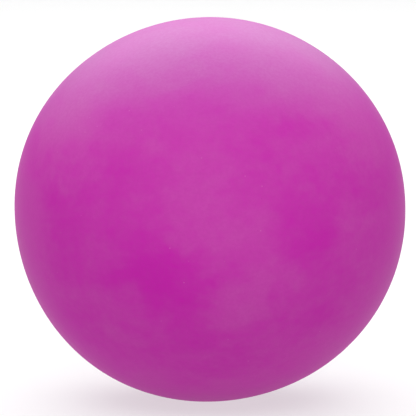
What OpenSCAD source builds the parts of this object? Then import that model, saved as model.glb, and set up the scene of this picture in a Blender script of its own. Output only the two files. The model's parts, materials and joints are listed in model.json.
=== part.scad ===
// Massage ball: a smooth, soft, air-filled hand ball, a little lower than it is wide.
// A one-piece skin holds the air. A bush clamped in the skin's boss forms the valve, and a
// stopper plug closes it. The ball lies at z = 0 on the small flat patch that its own weight
// presses into it, centred on the upright axis, and its valve faces +Y at the ball's mid height.

/* [Part shown] */
// Sub-part to draw

/* [Ball] */
// Width across the middle
ball_w = 90; // [86:1:120]
// How much less than its width the ball's height is, before the flat patch is taken off
height_loss = 1.5; // [0.5:0.1:1.8]
// Distance from the upright axis to the centre of the arc at the ball's side
side_offset = 1.5; // [1:0.1:3]
// Radius of the flat patch underneath
patch_r = 5.5; // [5:0.5:8]
// Thickness of the skin
skin_t = 3; // [2:0.5:4]

/* [Boss inside the skin] */
// Radius of the boss around the valve
boss_r = 10; // [9:0.5:12]
// Distance from the ball's side in to the boss's end
boss_depth = 12.4; // [12:0.2:16]
// Radius of the fillet between the boss and the skin
boss_fillet = 3; // [1:0.5:3.5]

/* [Valve bush] */
// Radius of the bush's tube
bush_r = 5.4; // [5.2:0.1:5.8]
// Radius of the bush's outer rim
rim_r = 6.4; // [6:0.1:6.6]
// Thickness of the outer rim
rim_t = 1; // [0.8:0.1:2]
// Distance from the ball's side in to the rim's face
rim_sink = 0.6; // [0.4:0.1:1]
// Radius of the inner flange that grips the boss's end
flange_r = 8; // [7:0.5:10]
// Thickness of the inner flange
flange_t = 1.6; // [1:0.1:2.5]
// Radius of the nozzle bore at the bush's inner end
nozzle_r = 2.1; // [1.5:0.1:2.4]
// Length of the nozzle bore
nozzle_l = 5.2; // [3:0.1:6]

/* [Stopper plug] */
// Radius of the plug's head
head_r = 4.2; // [3.8:0.1:4.5]
// Thickness of the plug's head
head_t = 1.3; // [1:0.1:2]
// Radius of the seat under the head
seat_outer_r = 3.1; // [2.9:0.1:3.6]
// Radius of the seat at its inner end
seat_inner_r = 2.7; // [2.5:0.1:2.8]
// Gap between the plug's shank and its seat
seat_gap = 0.05; // [0.02:0.01:0.08]
// Gap around and under the plug's head
head_gap = 0.3; // [0.3:0.05:0.5]
// Width of each groove between the shank's sealing lands
groove_w = 0.9; // [0.5:0.1:1.1]
// Depth of each groove
groove_d = 0.3; // [0.2:0.05:0.5]
// Radius of the fingernail notch in the head's edge
notch_r = 1.2; // [0.8:0.1:1.4]

/* [Hidden] */
$fn = 96;
skin_colour = [0.76, 0.22, 0.64];
bush_colour = [0.60, 0.17, 0.50];
plug_colour = [0.88, 0.86, 0.84];
ball_h = ball_w - height_loss;
side_x = ball_w / 2;
half_h = ball_h / 2;
// The side arc and the two end arcs run into each other without a corner, which needs a
// side_offset of more than half the height_loss.
side_r = side_x - side_offset;
flatness = height_loss / 2;
end_offset = (2 * flatness * side_offset - flatness ^ 2) / (2 * (side_offset - flatness));
end_r = half_h + end_offset;
join_angle = atan2(end_offset, side_offset);
patch_depth = end_r - sqrt(end_r ^ 2 - patch_r ^ 2);
centre_z = half_h - patch_depth;
// Places along the valve's axis, as distances from the ball's middle.
rim_face = side_x - rim_sink;
rim_back = rim_face - rim_t;
boss_end = side_x - boss_depth;
bush_end = boss_end - flange_t;
pocket_floor = rim_face - head_t - head_gap;
seat_end = bush_end + nozzle_l;
head_back = pocket_floor + head_gap;
shank_end = seat_end + head_gap;
seat_taper = (seat_outer_r - seat_inner_r) / (pocket_floor - seat_end);
fillet_overlap = 0.6;
past = 1;

function seat_r(y) = seat_inner_r + seat_taper * (y - seat_end);
function shank_r(y) = seat_r(y) - seat_gap;

// Half of the ball's upright section, drawn inward of the outer surface by inset.
module half_section(inset) {
  join_x = side_offset + (side_r - inset) * cos(join_angle);
  intersection() {
    union() {
      translate([side_offset, 0]) circle(r = side_r - inset);
      intersection() {
        translate([0, -end_offset]) circle(r = end_r - inset);
        translate([0, end_offset]) circle(r = end_r - inset);
        translate([0, -half_h]) square([join_x, ball_h]);
      }
    }
    translate([0, inset - centre_z]) square([ball_w, ball_h]);
  }
}

module ball_solid(inset) {
  translate([0, 0, centre_z]) rotate_extrude() half_section(inset);
}

// Turns a profile about the valve's axis: its x is a radius and its y a place along the axis.
module about_valve() {
  translate([0, 0, centre_z]) rotate([-90, 0, 0]) rotate_extrude() children();
}

// The boss and the fillet that carries it into the skin. The fillet runs on into the skin, so
// that it meets the skin's inside at an angle all the way around.
module boss() {
  foot_r = boss_r + boss_fillet;
  foot = sqrt((side_x - skin_t) ^ 2 - foot_r ^ 2) + fillet_overlap;
  about_valve() difference() {
    union() {
      translate([0, boss_end]) square([boss_r, side_x - boss_end]);
      translate([0, foot - boss_fillet]) square([foot_r, side_x - foot + boss_fillet]);
    }
    translate([foot_r, foot - boss_fillet]) circle(r = boss_fillet);
  }
}

module ball_skin() {
  color(skin_colour) difference() {
    ball_solid(0);
    difference() {
      ball_solid(skin_t);
      boss();
    }
    about_valve() translate([0, boss_end - past]) square([bush_r, side_x]);
    about_valve() translate([0, rim_back]) square([rim_r, side_x]);
  }
}

module valve_bush() {
  color(bush_colour) about_valve() difference() {
    union() {
      translate([0, bush_end]) square([bush_r, rim_face - bush_end]);
      translate([0, rim_back]) square([rim_r, rim_t]);
      translate([0, bush_end]) square([flange_r, flange_t]);
    }
    translate([0, bush_end - past]) square([nozzle_r, nozzle_l + 2 * past]);
    polygon([[0, seat_end], [seat_inner_r, seat_end], [seat_outer_r, pocket_floor], [0, pocket_floor]]);
    translate([0, pocket_floor]) square([head_r + head_gap, head_t + head_gap + past]);
  }
}

// A groove that leaves a sealing land on each side of it.
module shank_groove(y) {
  translate([shank_r(y) - groove_d, y - groove_w / 2]) square([seat_outer_r, groove_w]);
}

module stopper_plug() {
  shank_l = head_back - shank_end;
  color(plug_colour) difference() {
    about_valve() difference() {
      union() {
        translate([0, head_back]) square([head_r, head_t]);
        polygon([
          [0, shank_end],
          [shank_r(shank_end), shank_end],
          [shank_r(head_back), head_back],
          [0, head_back],
        ]);
      }
      for (part = [1 : 2]) shank_groove(shank_end + shank_l * part / 3);
    }
    // The notch is cut into the head's top edge, so that a fingernail can lift the plug.
    translate([0, rim_face, centre_z + head_r]) sphere(r = notch_r);
  }
}

ball_skin();
valve_bush();
stopper_plug();
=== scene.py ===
import json
import math

import bpy
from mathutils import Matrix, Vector, noise


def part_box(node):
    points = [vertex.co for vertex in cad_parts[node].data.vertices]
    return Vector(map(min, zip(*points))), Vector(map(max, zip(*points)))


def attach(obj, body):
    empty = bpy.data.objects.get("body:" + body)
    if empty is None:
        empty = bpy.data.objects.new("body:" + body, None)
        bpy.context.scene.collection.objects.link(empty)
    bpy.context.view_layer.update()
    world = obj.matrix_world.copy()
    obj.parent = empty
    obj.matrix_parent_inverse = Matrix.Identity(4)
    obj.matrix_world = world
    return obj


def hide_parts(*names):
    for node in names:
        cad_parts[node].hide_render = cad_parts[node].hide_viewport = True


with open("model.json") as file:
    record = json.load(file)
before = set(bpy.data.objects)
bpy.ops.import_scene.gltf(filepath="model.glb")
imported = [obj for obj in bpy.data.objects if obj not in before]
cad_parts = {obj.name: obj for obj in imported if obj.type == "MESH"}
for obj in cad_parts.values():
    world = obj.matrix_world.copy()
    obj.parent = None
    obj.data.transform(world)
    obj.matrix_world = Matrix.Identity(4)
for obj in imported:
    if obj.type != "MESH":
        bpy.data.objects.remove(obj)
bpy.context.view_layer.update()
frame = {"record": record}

MM = 0.001

# ---------------------------------------------------------------- the ball's sizes
# The skin's CAD box and the valve bore's place give the ball's size and its centre.
skin_low, skin_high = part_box("ball_skin")
bush_low, bush_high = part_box("valve_bush")
plug_low, plug_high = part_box("stopper_plug")
pump_bore = next(mount for mount in frame["record"]["mounts"] if mount["name"] == "pump_bore")

CENTRE_Z = pump_bore["pos_m"][2] / MM
SIDE = -skin_low.x / MM
HALF_H = skin_high.z / MM - CENTRE_Z
SIDE_OFFSET = 1.5  # from the upright axis to the centre of the side arc
SKIN_T = 3.0
FLATNESS = SIDE - HALF_H
SIDE_R = SIDE - SIDE_OFFSET
END_OFFSET = (2 * FLATNESS * SIDE_OFFSET - FLATNESS**2) / (2 * (SIDE_OFFSET - FLATNESS))
END_R = HALF_H + END_OFFSET
JOIN = math.atan2(END_OFFSET, SIDE_OFFSET)  # angle at which the side arc runs into the end arc
PATCH_SOFTNESS = 0.05  # how gently the skin bends into the flat patch underneath

# ---------------------------------------------------------------- the valve's sizes
# Radii, and places along +Y from the ball's middle.
RIM_R = 6.4
RIM_T = 1.0
RIM_FACE = bush_high.y / MM
RIM_BACK = RIM_FACE - RIM_T
BUSH_R = 5.4
BUSH_END = bush_low.y / MM
FLANGE_R = bush_high.x / MM
FLANGE_T = 1.6
BOSS_R = 10.0
BOSS_END = BUSH_END + FLANGE_T
BOSS_FOOT = 37.6  # where the boss starts to flare into the skin's inside
FLARE_R = 12.6
FLARE_END = 39.6
NOZZLE_R = pump_bore["dims"]["r_mm"]
HEAD_R = plug_high.x / MM
HEAD_T = 1.3
HEAD_GAP = 0.3
POCKET_FLOOR = RIM_FACE - HEAD_T - HEAD_GAP
SEAT_END = BUSH_END + pump_bore["dims"]["length_mm"]
SEAT_OUTER_R = 3.1
SEAT_INNER_R = 2.7
SEAT_GAP = 0.05
SHANK_END = plug_low.y / MM
LIP = 0.35  # rounded edge of the skin around the rim
LIP_DROP = 0.05  # how far the skin's edge dips on its way into the recess
CLEAR = 0.02  # keeps the skin's surfaces off the bush's

# The grooves between the shank's sealing lands.
GROOVE_D = 0.3
GROOVE_HALF_W = 0.3
GROOVE_SLOPE = 0.25  # length of a groove's slanted side

# The rings across the plug's face, from just inside its rounded edge to near its nub.
FACE_RINGS = 21
FACE_STEP = 0.15
FACE_EDGE = 0.4

# The nub in the middle of the plug's face where it was moulded, and its fingernail notch.
NUB_R = 0.85
NUB_TOP_R = 0.6
NUB_H = 0.12
NOTCH_R = 1.2
NOTCH_RAISE = 0.1  # the notch's ball is centred this far out of the face
NOTCH_FLOOR = 0.25  # thickness of the head that the notch leaves

# ---------------------------------------------------------------- the skin's unevenness
# Broad, shallow lumps of the moulded skin: how many around the upright section that faces
# the camera, how high, and where the first one peaks, in degrees up from +X.
LUMPS = ((3, 0.09, -4), (4, 0.14, -35), (5, 0.05, 20))
DENT_HEIGHT = 0.05  # slow unevenness all over
DENT_SIZE = 28.0
DENT_SHIFT = Vector((3.1, 7.7, 1.9))  # the part of the noise that the dents are taken from
DENTS_NONE = math.radians(14)  # no dents nearer to the valve's axis than this
DENTS_FULL = math.radians(40)
SEAM_HEIGHT = 0.07  # the mould's parting line, in the plane across the valve's axis
SEAM_WIDTH = 0.35

# ---------------------------------------------------------------- how finely it is meshed
AROUND = 192  # segments around the valve's axis
CELLS = AROUND // 4  # cells along a side of the patch that closes the ball opposite the valve
CAP_ANGLE = math.radians(40)  # half the angle that the patch spans
RING_STEP = math.radians(2.0)
SEAM_STEP = math.radians(0.25)
SEAM_BAND = math.radians(1.5)  # rings are closer together on each side of the parting line
SEAM_RINGS = 5  # close rings on each side of it
VALVE_BAND = math.radians(20)  # rings are closer together around the valve
VALVE_RINGS = 14
INSIDE_START = math.radians(19.5)
INSIDE_RINGS = 40
FILLET_STEPS = 5


# ---------------------------------------------------------------- the ball's surface
def arc_radius(direction, inset):
    """Distance from the centre to the smooth oblate surface, inset inward."""
    up = abs(direction.z)
    out = math.hypot(direction.x, direction.y)
    side_r = SIDE_R - inset
    end_r = END_R - inset
    reach = SIDE_OFFSET * out + math.sqrt(side_r**2 - (SIDE_OFFSET * up) ** 2)
    if math.atan2(reach * up, reach * out - SIDE_OFFSET) > JOIN:
        reach = -END_OFFSET * up + math.sqrt(end_r**2 - (END_OFFSET * out) ** 2)
    return reach


def smooth_step(low, high, value):
    share = min(max((value - low) / (high - low), 0.0), 1.0)
    return share * share * (3 - 2 * share)


def polar(direction):
    """Angle of a direction from the valve's axis."""
    return math.acos(max(-1.0, min(1.0, direction.y)))


def unevenness(direction):
    """Height of the lumps, the dents and the parting line; the dents fade out towards the valve."""
    upright = complex(direction.x, direction.z)
    height = 0.0
    for count, size, peak in LUMPS:
        turn = math.radians(-count * peak)
        turned_lump = upright**count * complex(math.cos(turn), math.sin(turn))
        height += size * turned_lump.real
    clear_of_valve = smooth_step(DENTS_NONE, DENTS_FULL, polar(direction))
    dent = noise.noise(direction * (SIDE / DENT_SIZE) + DENT_SHIFT)
    height += DENT_HEIGHT * dent * clear_of_valve
    height += SEAM_HEIGHT * math.exp(-((direction.y * SIDE / SEAM_WIDTH) ** 2))
    return height


def skin_point(direction, inset=0.0):
    """A point of the skin from the ball's centre, flattened where it rests."""
    radius = arc_radius(direction, inset)
    if inset == 0.0:
        radius += unevenness(direction)
    point = direction * radius
    lift = (inset - CENTRE_Z - point.z) / PATCH_SOFTNESS
    # past these limits the exponential is nothing, or too large to work out
    if lift > -30:
        point.z += PATCH_SOFTNESS * math.log1p(math.exp(min(lift, 60)))
    return point


# ---------------------------------------------------------------- mesh helpers
class Build:
    """Collects vertices and faces, from the ball's centre, into one mesh."""

    def __init__(self):
        self.points = []
        self.faces = []

    def add(self, points):
        start = len(self.points)
        self.points.extend(points)
        return list(range(start, len(self.points)))

    def bridge(self, first, second):
        """Quads between two closed rings of the same length."""
        count = len(first)
        for here in range(count):
            there = (here + 1) % count
            self.faces.append((first[here], second[here], second[there], first[there]))

    def finish(self, name):
        mesh = bpy.data.meshes.new(name)
        centre = Vector((0, 0, CENTRE_Z))
        mesh.from_pydata([(point + centre) * MM for point in self.points], [], self.faces)
        mesh.validate()
        mesh.shade_smooth()
        piece = bpy.data.objects.new(name, mesh)
        bpy.context.scene.collection.objects.link(piece)
        return piece


def around_axis(radius, along):
    """A ring about the valve's axis."""
    ring = []
    for segment in range(AROUND):
        turn = 2 * math.pi * segment / AROUND
        ring.append(Vector((radius * math.cos(turn), along, radius * math.sin(turn))))
    return ring


def ball_ring(angle, inset=0.0):
    """A ring on the skin at a polar angle from the valve's axis."""
    ring = []
    for segment in range(AROUND):
        turn = 2 * math.pi * segment / AROUND
        out = math.sin(angle)
        direction = Vector((out * math.cos(turn), math.cos(angle), out * math.sin(turn)))
        ring.append(skin_point(direction, inset))
    return ring


def cap_direction(column, row):
    """A direction near -Y for a corner of a cell: rings of the square patch become circles."""
    across = 2 * column / CELLS - 1
    up = 2 * row / CELLS - 1
    if across == 0 and up == 0:
        return Vector((0, -1, 0))
    if abs(across) >= abs(up):
        reach = abs(across)
        turn = math.pi / 4 * up / across + (math.pi if across < 0 else 0)
    else:
        reach = abs(up)
        turn = math.pi / 2 - math.pi / 4 * across / up + (math.pi if up < 0 else 0)
    angle = reach * CAP_ANGLE
    out = math.sin(angle)
    return Vector((out * math.cos(turn), -math.cos(angle), out * math.sin(turn)))


def cap(build, edge, inset, facing_out):
    """Closes a ring of the skin opposite the valve with a square patch of quads."""
    index = {}
    for segment in range(AROUND):
        # the ring starts at +X, which is the middle of the patch's right side
        side, step = divmod((segment + CELLS // 2) % AROUND, CELLS)
        corners = ((CELLS, step), (CELLS - step, CELLS), (0, CELLS - step), (step, 0))
        index[corners[side]] = edge[segment]
    for column in range(CELLS + 1):
        for row in range(CELLS + 1):
            if (column, row) not in index:
                point = skin_point(cap_direction(column, row), inset)
                index[column, row] = build.add([point])[0]
    for column in range(CELLS):
        for row in range(CELLS):
            quad = (
                index[column, row],
                index[column + 1, row],
                index[column + 1, row + 1],
                index[column, row + 1],
            )
            build.faces.append(quad if facing_out else quad[::-1])


def rounded(corners):
    """A profile of (radius, along, fillet) corners with each fillet drawn as a short curve."""
    profile = []
    last = len(corners) - 1
    for number, (radius, along, fillet) in enumerate(corners):
        here = Vector((radius, along))
        if fillet == 0 or number in (0, last):
            profile.append(here)
            continue
        before = (Vector(corners[number - 1][:2]) - here).normalized()
        after = (Vector(corners[number + 1][:2]) - here).normalized()
        start, end = here + before * fillet, here + after * fillet
        for step in range(FILLET_STEPS + 1):
            share = step / FILLET_STEPS
            curve = start * (1 - share) ** 2 + here * (2 * share * (1 - share)) + end * share**2
            profile.append(curve)
    return profile


def turned(name, corners, shape=None):
    """A solid turned about the valve's axis; its profile ends on the axis or closes on itself."""
    build = Build()
    profile = rounded(corners)
    on_axis = 1e-6
    rings = []
    for corner in profile:
        if corner.x < on_axis:
            rings.append(build.add([Vector((0, corner.y, 0))]))
        else:
            ring = around_axis(corner.x, corner.y)
            if shape:
                ring = [shape(point) for point in ring]
            rings.append(build.add(ring))
    pairs = list(zip(rings, rings[1:]))
    if profile[0].x > on_axis:
        pairs.append((rings[-1], rings[0]))
    for first, second in pairs:
        if len(first) == 1:
            fan = [(first[0], second[i], second[(i + 1) % AROUND]) for i in range(AROUND)]
            build.faces += fan
        elif len(second) == 1:
            fan = [(second[0], first[(i + 1) % AROUND], first[i]) for i in range(AROUND)]
            build.faces += fan
        else:
            build.bridge(first, second)
    return build.finish(name)


# ---------------------------------------------------------------- the three pieces
def outside_angles():
    """Polar angles of the rings on the skin's outside, from the patch to the valve's lip."""
    angles = [math.pi - CAP_ANGLE]
    angle = angles[0] - RING_STEP
    while angle > math.pi / 2 + SEAM_BAND:
        angles.append(angle)
        angle -= RING_STEP
    angles += [math.pi / 2 + SEAM_STEP * k for k in range(SEAM_RINGS, -SEAM_RINGS - 1, -1)]
    angle = math.pi / 2 - SEAM_BAND - RING_STEP / 2
    while angle > VALVE_BAND:
        angles.append(angle)
        angle -= RING_STEP
    last = angles[-1]
    lip_angle = math.asin((RIM_R + LIP) / SIDE)
    angles += [last + (lip_angle - last) * k / VALVE_RINGS for k in range(1, VALVE_RINGS + 1)]
    return angles


def make_skin():
    """The hollow skin as one closed shell: outside, valve recess, bore, boss, inside."""
    build = Build()
    rings = [ball_ring(angle) for angle in outside_angles()]
    edge = rings[-1][0].y
    valve = rounded(
        (
            (RIM_R + LIP, edge, 0),
            (RIM_R + CLEAR, edge - LIP_DROP, 0.2),
            (RIM_R + CLEAR, RIM_BACK - CLEAR, 0),
            (BUSH_R + CLEAR, RIM_BACK - CLEAR, 0),
            (BUSH_R + CLEAR, BOSS_END + CLEAR, 0),
            (BOSS_R, BOSS_END + CLEAR, 0.6),
            (BOSS_R, BOSS_FOOT, 1.5),
            (FLARE_R, FLARE_END, 0.8),
        )
    )[1:]
    rings += [around_axis(corner.x, corner.y) for corner in valve]
    inside_end = math.pi - CAP_ANGLE
    for k in range(INSIDE_RINGS + 1):
        angle = INSIDE_START + (inside_end - INSIDE_START) * k / INSIDE_RINGS
        rings.append(ball_ring(angle, SKIN_T))
    indexed = [build.add(ring) for ring in rings]
    for first, second in zip(indexed, indexed[1:]):
        build.bridge(first, second)
    cap(build, indexed[0], 0.0, True)
    cap(build, indexed[-1], SKIN_T, False)
    return build.finish("ball_skin_soft")


def make_bush():
    """The valve bush: rim, head pocket, tapered seat, nozzle bore and inner flange."""
    pocket_r = HEAD_R + HEAD_GAP
    return turned(
        "valve_bush_moulded",
        (
            (BUSH_R, RIM_BACK, 0),
            (RIM_R, RIM_BACK, 0.1),
            (RIM_R, RIM_FACE, 0.25),
            (pocket_r, RIM_FACE, 0.25),
            (pocket_r, POCKET_FLOOR, 0.2),
            (SEAT_OUTER_R, POCKET_FLOOR, 0.15),
            (SEAT_INNER_R, SEAT_END, 0.1),
            (NOZZLE_R, SEAT_END, 0.1),
            (NOZZLE_R, BUSH_END, 0.3),
            (FLANGE_R, BUSH_END, 0.4),
            (FLANGE_R, BOSS_END, 0.3),
            (BUSH_R, BOSS_END, 0.1),
        ),
    )


def make_plug():
    """The stopper plug: rounded head with a fingernail notch, and a shank with sealing lands."""
    head_back = POCKET_FLOOR + HEAD_GAP
    face = head_back + HEAD_T
    length = head_back - SHANK_END
    slope = (SEAT_OUTER_R - SEAT_INNER_R) / (POCKET_FLOOR - SEAT_END)

    def shank_r(along):
        return SEAT_INNER_R - SEAT_GAP + slope * (along - SEAT_END)

    groove_edge = GROOVE_HALF_W + GROOVE_SLOPE
    groove = (
        (-groove_edge, 0),
        (-GROOVE_HALF_W, GROOVE_D),
        (GROOVE_HALF_W, GROOVE_D),
        (groove_edge, 0),
    )
    corners = [(0, SHANK_END, 0), (shank_r(SHANK_END), SHANK_END, 0.35)]
    for part in (1, 2):
        middle = SHANK_END + length * part / 3
        for off, depth in groove:
            corners.append((shank_r(middle + off) - depth, middle + off, 0.1))
    corners += [
        (shank_r(head_back), head_back, 0.15),
        (HEAD_R, head_back, 0.2),
        (HEAD_R, face, 0.35),
    ]
    # rings across the face give the notch its shape, and the nub is in the middle
    corners += [(HEAD_R - FACE_EDGE - FACE_STEP * k, face, 0) for k in range(FACE_RINGS)]
    corners += [
        (NUB_R, face, 0.1),
        (NUB_TOP_R, face + NUB_H, 0.1),
        (NUB_TOP_R / 2, face + NUB_H, 0),
        (0, face + NUB_H, 0),
    ]
    notch = Vector((0, face + NOTCH_RAISE, HEAD_R))

    def scoop(point):
        """Presses the head's upper edge down to the notch's ball."""
        off = Vector((point.x - notch.x, 0, point.z - notch.z))
        if point.y < head_back or off.length > NOTCH_R:
            return point
        floor = notch.y - math.sqrt(NOTCH_R**2 - off.length**2)
        return Vector((point.x, min(point.y, max(floor, head_back + NOTCH_FLOOR)), point.z))

    return turned("stopper_plug_moulded", corners, scoop)


# ---------------------------------------------------------------- material helpers
# The Mix node's sockets for colours, which share their names with its other sockets.
MIX_FACTOR, MIX_A, MIX_B, MIX_RESULT = 0, 6, 7, 2


def new_material(name):
    material = bpy.data.materials.new(name)
    material.use_nodes = True
    tree = material.node_tree
    shader = tree.nodes["Principled BSDF"]
    return material, tree, shader


def object_coords(tree):
    return tree.nodes.new("ShaderNodeTexCoord").outputs["Object"]


def noise_node(tree, coords, size_mm, detail, rough, distort=0.0):
    node = tree.nodes.new("ShaderNodeTexNoise")
    node.inputs["Scale"].default_value = 1 / (size_mm * MM)
    node.inputs["Detail"].default_value = detail
    node.inputs["Roughness"].default_value = rough
    node.inputs["Distortion"].default_value = distort
    tree.links.new(coords, node.inputs["Vector"])
    return node


def place_noise(tree, coords, size_mm, detail, rough, distort=0.0):
    """Noise with features of about size_mm."""
    return noise_node(tree, coords, size_mm, detail, rough, distort).outputs["Fac"]


def remap(tree, value, low, high, to_low=0.0, to_high=1.0):
    node = tree.nodes.new("ShaderNodeMapRange")
    node.interpolation_type = "SMOOTHSTEP"
    node.inputs["From Min"].default_value = low
    node.inputs["From Max"].default_value = high
    node.inputs["To Min"].default_value = to_low
    node.inputs["To Max"].default_value = to_high
    tree.links.new(value, node.inputs["Value"])
    return node.outputs["Result"]


def mix(tree, factor, under, over):
    """Mixes two colours, which are sockets or RGB triples."""
    node = tree.nodes.new("ShaderNodeMix")
    node.data_type = "RGBA"
    for number, colour in ((MIX_A, under), (MIX_B, over)):
        if isinstance(colour, tuple):
            node.inputs[number].default_value = (*colour, 1.0)
        else:
            tree.links.new(colour, node.inputs[number])
    tree.links.new(factor, node.inputs[MIX_FACTOR])
    return node.outputs[MIX_RESULT]


def bump(tree, height, strength, distance_mm, under=None):
    node = tree.nodes.new("ShaderNodeBump")
    node.inputs["Strength"].default_value = strength
    node.inputs["Distance"].default_value = distance_mm * MM
    tree.links.new(height, node.inputs["Height"])
    if under:
        tree.links.new(under, node.inputs["Normal"])
    return node.outputs["Normal"]


def strayed(tree, coords, size_mm, reach_mm):
    """Coordinates pushed about by noise, so that shapes placed in them get ragged edges."""
    stray = noise_node(tree, coords, size_mm, detail=5, rough=0.6)
    push = tree.nodes.new("ShaderNodeVectorMath")
    push.operation = "MULTIPLY_ADD"
    push.inputs[1].default_value = (2 * reach_mm * MM,) * 3
    push.inputs[2].default_value = (-reach_mm * MM,) * 3
    tree.links.new(stray.outputs["Color"], push.inputs[0])
    shift = tree.nodes.new("ShaderNodeVectorMath")
    tree.links.new(coords, shift.inputs[0])
    tree.links.new(push.outputs["Vector"], shift.inputs[1])
    return shift.outputs["Vector"]


def near_spot(tree, coords, x, z, radius, amount):
    """amount at a spot on the side that faces the camera, fading to nothing past radius."""
    y = -math.sqrt(SIDE**2 - x**2 - z**2)
    node = tree.nodes.new("ShaderNodeVectorMath")
    node.operation = "DISTANCE"
    node.inputs[1].default_value = Vector((x, y, z + CENTRE_Z)) * MM
    tree.links.new(coords, node.inputs[0])
    full = 0.2 * radius * MM
    gone = 1.4 * radius * MM
    return remap(tree, node.outputs["Value"], full, gone, amount, 0.0)


def total(tree, values):
    """The sum of several sockets."""
    result = values[0]
    for value in values[1:]:
        node = tree.nodes.new("ShaderNodeMath")
        tree.links.new(result, node.inputs[0])
        tree.links.new(value, node.inputs[1])
        result = node.outputs["Value"]
    return result


def times(tree, value, factor):
    """A socket times a number or another socket."""
    node = tree.nodes.new("ShaderNodeMath")
    node.operation = "MULTIPLY"
    tree.links.new(value, node.inputs[0])
    if isinstance(factor, float):
        node.inputs[1].default_value = factor
    else:
        tree.links.new(factor, node.inputs[1])
    return node.outputs["Value"]


def scattered_dots(tree, coords, spacing, radius):
    """1 in small dots scattered through space about spacing apart, 0 elsewhere."""
    node = tree.nodes.new("ShaderNodeTexVoronoi")
    node.inputs["Scale"].default_value = 1 / (spacing * MM)
    tree.links.new(coords, node.inputs["Vector"])
    core = 0.4 * radius / spacing
    return remap(tree, node.outputs["Distance"], core, radius / spacing, 1.0, 0.0)


# ---------------------------------------------------------------- materials
CLEAR_RUBBER = (0.485, 0.011, 0.350)
# pale haze of the bloom; the same colour is also laid on as painted sheen at the upper rims
HAZE_AND_SHEEN_RUBBER = (0.495, 0.059, 0.362)
# painted highlight: the pale colour laid on the upper side where the overhead lights fall
PAINTED_TOP_HIGHLIGHT = (0.40, 0.30, 0.46)
DEEP_DYE = (0.40, 0.020, 0.27)
DARK_SPECK = (0.40, 0.010, 0.27)
DUST = (0.60, 0.30, 0.50)
CLEAR_BUSH = (0.34, 0.010, 0.22)
HAZED_BUSH = (0.41, 0.022, 0.28)
YELLOWED_PLASTIC = (0.66, 0.62, 0.56)
CLEAN_PLASTIC = (0.76, 0.73, 0.68)

# The direction of the painted highlight on the upper side: from above, and a little from the back,
# where the overhead lights are.
PAINTED_HIGHLIGHT_FROM = (-0.05, 0.21, 0.975)
STREAK_TILT = math.radians(35)
STREAK_STRETCH = 1.6

# Spots on the side facing the camera where the pale haze is thicker (+) or thinner (-): partly the
# bloom's own thick and rubbed-away places, partly painted light, with painted sheen on the upper
# rims and painted shade low on the left rim:
# x, height from the middle and radius, then how much.
BLOOM_AND_SHEEN_SPOTS = (
    (-1, 9, 13, 0.16),
    (8, -12, 9, 0.16),
    (-10, -8, 12, -0.22),
    (21, -2, 8, -0.12),
    (0, 29, 13, -0.06),
    (-32, 6, 8, -0.10),
    (-33, 21, 12, 0.34),
    (33, 21, 11, 0.34),
    (20, 18, 7, 0.14),
    (21, -14, 7, -0.12),
    (33, -2, 9, 0.16),
    (-33, -20, 12, -0.18),
    (-2, -26, 13, -0.05),
)


def bloom_and_painted_sheen(tree, coords, ragged):
    """Where the bloom is rubbed thin and where it stays, in broad areas with ragged edges, plus the
    spots, which also paint sheen on the upper rims and shade low on the left rim.
    """
    broad = place_noise(tree, coords, size_mm=30, detail=2, rough=0.5, distort=0.4)
    mottle = place_noise(tree, coords, size_mm=2.8, detail=6, rough=0.75)
    ragged_coords = strayed(tree, coords, size_mm=8, reach_mm=12)
    spots = [near_spot(tree, ragged_coords, *spot) for spot in BLOOM_AND_SHEEN_SPOTS]
    noises = [times(tree, broad, 0.5), times(tree, ragged, 0.8), times(tree, mottle, 0.55)]
    return total(tree, noises + spots)


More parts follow.
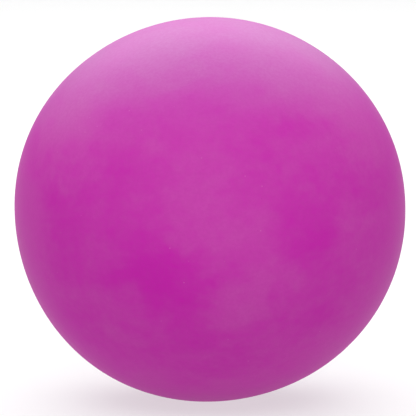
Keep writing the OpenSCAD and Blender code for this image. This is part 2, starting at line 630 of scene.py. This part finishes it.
def skin_material():
    """Matte magenta rubber under an uneven, pale bloom, with a painted highlight on top, painted
    sheen on the upper rims and painted shade low on the left rim, and some dust.
    """
    material, tree, shader = new_material("magenta_rubber")
    place = tree.nodes.new("ShaderNodeTexCoord")
    coords = place.outputs["Object"]
    drawn = tree.nodes.new("ShaderNodeMapping")
    drawn.inputs["Rotation"].default_value = (0.0, STREAK_TILT, 0.0)
    drawn.inputs["Scale"].default_value = (1.0, 1.0, STREAK_STRETCH)
    tree.links.new(coords, drawn.inputs["Vector"])
    streaky = drawn.outputs["Vector"]
    ragged = place_noise(tree, streaky, size_mm=13, detail=6, rough=0.62, distort=0.3)
    bloom_and_sheen = bloom_and_painted_sheen(tree, coords, ragged)
    # haze of the bloom, with painted sheen on the upper rims and painted shade low on the left rim
    # from the spots
    bloom_and_sheen_cover = remap(tree, bloom_and_sheen, low=0.51, high=1.39)
    colour = mix(tree, bloom_and_sheen_cover, CLEAR_RUBBER, HAZE_AND_SHEEN_RUBBER)
    # painted highlight on the upper side, paler where the surface faces the overhead lights
    facing = tree.nodes.new("ShaderNodeVectorMath")
    facing.operation = "DOT_PRODUCT"
    facing.inputs[1].default_value = PAINTED_HIGHLIGHT_FROM
    tree.links.new(place.outputs["Normal"], facing.inputs[0])
    painted_highlight = remap(tree, facing.outputs["Value"], low=0.24, high=0.88, to_high=0.37)
    uneven = remap(tree, ragged, low=0.25, high=0.75, to_low=0.85, to_high=1.1)
    painted_highlight = times(tree, painted_highlight, uneven)
    colour = mix(tree, painted_highlight, colour, PAINTED_TOP_HIGHLIGHT)
    # fine unevenness of the dye, tiny darker specks, and dust
    fine = place_noise(tree, coords, size_mm=0.7, detail=3, rough=0.65)
    colour = mix(tree, remap(tree, fine, low=0.3, high=0.7, to_high=0.22), colour, DEEP_DYE)
    dark_specks = scattered_dots(tree, coords, spacing=3.1, radius=0.16)
    colour = mix(tree, times(tree, dark_specks, 0.45), colour, DARK_SPECK)
    dust = scattered_dots(tree, coords, spacing=3.9, radius=0.17)
    colour = mix(tree, times(tree, dust, 0.3), colour, DUST)
    tree.links.new(colour, shader.inputs["Base Color"])
    roughness = remap(tree, bloom_and_sheen, low=0.5, high=1.3, to_low=0.47, to_high=0.56)
    tree.links.new(roughness, shader.inputs["Roughness"])
    waves = place_noise(tree, coords, size_mm=4, detail=3, rough=0.5)
    grain = place_noise(tree, coords, size_mm=0.35, detail=3, rough=0.5)
    normal = bump(tree, waves, strength=0.35, distance_mm=0.05)
    normal = bump(tree, grain, strength=0.45, distance_mm=0.03, under=normal)
    tree.links.new(normal, shader.inputs["Normal"])
    shader.inputs["IOR"].default_value = 1.5
    shader.inputs["Specular IOR Level"].default_value = 0.08
    return material


def bush_material():
    """The firmer, darker rubber of the valve bush, with a slight moulding haze."""
    material, tree, shader = new_material("dark_magenta_rubber")
    coords = object_coords(tree)
    haze = place_noise(tree, coords, size_mm=2.5, detail=4, rough=0.55, distort=0.4)
    colour = mix(tree, remap(tree, haze, low=0.38, high=0.66), CLEAR_BUSH, HAZED_BUSH)
    tree.links.new(colour, shader.inputs["Base Color"])
    shader.inputs["Specular IOR Level"].default_value = 0.25
    roughness = remap(tree, haze, low=0.3, high=0.7, to_low=0.38, to_high=0.5)
    tree.links.new(roughness, shader.inputs["Roughness"])
    grain = place_noise(tree, coords, size_mm=0.3, detail=3, rough=0.5)
    normal = bump(tree, grain, strength=0.2, distance_mm=0.02)
    tree.links.new(normal, shader.inputs["Normal"])
    return material


def plug_material():
    """Milky soft plastic, clouded a little yellower in places."""
    material, tree, shader = new_material("milky_plastic")
    coords = object_coords(tree)
    cloud = place_noise(tree, coords, size_mm=2.2, detail=4, rough=0.55, distort=0.5)
    colour = mix(tree, remap(tree, cloud, low=0.38, high=0.66), YELLOWED_PLASTIC, CLEAN_PLASTIC)
    tree.links.new(colour, shader.inputs["Base Color"])
    roughness = remap(tree, cloud, low=0.3, high=0.7, to_low=0.32, to_high=0.45)
    tree.links.new(roughness, shader.inputs["Roughness"])
    grain = place_noise(tree, coords, size_mm=0.25, detail=3, rough=0.5)
    normal = bump(tree, grain, strength=0.15, distance_mm=0.015)
    tree.links.new(normal, shader.inputs["Normal"])
    return material


skin = make_skin()
skin.data.materials.append(skin_material())
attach(skin, "ball")
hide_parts("ball_skin")

bush = make_bush()
bush.data.materials.append(bush_material())
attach(bush, "ball")
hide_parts("valve_bush")

plug = make_plug()
plug.data.materials.append(plug_material())
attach(plug, "stopper")
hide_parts("stopper_plug")


# ---------------------------------------------------------------- floor, light and camera
FLOOR_REACH = 4.0
FLOOR_GREY = 0.28
FLOOR_GLOW = 0.6

# Each soft light's place from the ball's middle, width, height and power in watts.
LIGHTS = (
    ("overhead_back", (0, 0.6, 0.9), 1.2, 0.8, 7.8),
    ("overhead_front", (0, -0.6, 0.9), 1.2, 0.8, 10.8),
    ("backdrop_light", (0, 1.3, 1.0), 2.0, 1.0, 15.0),
    ("front_fill", (0, -1.35, 0.8), 1.4, 0.8, 2.9),
    ("left_softbox", (-1.0, 0.5, 0.8), 0.7, 0.9, 4.6),
    ("right_softbox", (1.0, 0.5, 0.8), 0.7, 0.9, 2.8),
)

CAMERA_ELEVATION = math.radians(8)
CAMERA_DISTANCE = 0.8
CAMERA_LENS = 301
CAMERA_SHIFT_X = -0.0041
CAMERA_SHIFT_Y = 0.0038


def make_floor():
    """A plain pale floor that glows a little, like a light table."""
    reach = FLOOR_REACH
    corners = [(-reach, -reach, 0), (reach, -reach, 0), (reach, reach, 0), (-reach, reach, 0)]
    mesh = bpy.data.meshes.new("floor")
    mesh.from_pydata(corners, [], [(0, 1, 2, 3)])
    floor = bpy.data.objects.new("floor", mesh)
    bpy.context.scene.collection.objects.link(floor)
    material, tree, shader = new_material("pale_floor")
    shader.inputs["Base Color"].default_value = (FLOOR_GREY, FLOOR_GREY, FLOOR_GREY, 1)
    shader.inputs["Roughness"].default_value = 0.9
    shader.inputs["Emission Color"].default_value = (1, 1, 1, 1)
    shader.inputs["Emission Strength"].default_value = FLOOR_GLOW
    mesh.materials.append(material)


def make_world():
    """A dim room whose walls are brighter near the floor's level, so that the horizon is pale."""
    world = bpy.data.worlds.new("studio")
    world.use_nodes = True
    tree = world.node_tree
    split = tree.nodes.new("ShaderNodeSeparateXYZ")
    tree.links.new(tree.nodes.new("ShaderNodeTexCoord").outputs["Generated"], split.inputs[0])
    background = tree.nodes["Background"]
    background.inputs["Color"].default_value = (1, 1, 1, 1)
    walls = remap(tree, split.outputs["Z"], low=0.08, high=0.2, to_low=0.6, to_high=0.08)
    tree.links.new(walls, background.inputs["Strength"])
    bpy.context.scene.world = world


def aim(thing, direction):
    """Turns a light or a camera to look along a direction."""
    thing.rotation_mode = "QUATERNION"
    thing.rotation_quaternion = direction.to_track_quat("-Z", "Y")


def make_light(name, place, target, width, height, watts):
    """A soft rectangular light that the camera doesn't see."""
    lamp = bpy.data.lights.new(name, "AREA")
    lamp.shape = "RECTANGLE"
    lamp.size = width
    lamp.size_y = height
    lamp.energy = watts
    light = bpy.data.objects.new(name, lamp)
    light.location = place
    aim(light, target - place)
    light.visible_camera = False
    bpy.context.scene.collection.objects.link(light)


def make_camera(target):
    """A little above the ball, on the side away from the valve."""
    optics = bpy.data.cameras.new("camera")
    optics.lens = CAMERA_LENS
    optics.shift_x = CAMERA_SHIFT_X
    optics.shift_y = CAMERA_SHIFT_Y
    camera = bpy.data.objects.new("camera", optics)
    back = Vector((0, -math.cos(CAMERA_ELEVATION), math.sin(CAMERA_ELEVATION)))
    camera.location = target + back * CAMERA_DISTANCE
    aim(camera, -back)
    bpy.context.scene.collection.objects.link(camera)
    bpy.context.scene.camera = camera


ball_middle = Vector((0, 0, CENTRE_Z)) * MM
make_floor()
make_world()
for light_name, offset, light_w, light_h, power in LIGHTS:
    make_light(light_name, ball_middle + Vector(offset), ball_middle, light_w, light_h, power)
make_camera(ball_middle)
bpy.context.scene.view_settings.view_transform = "Standard"
bpy.context.scene.view_settings.look = "None"
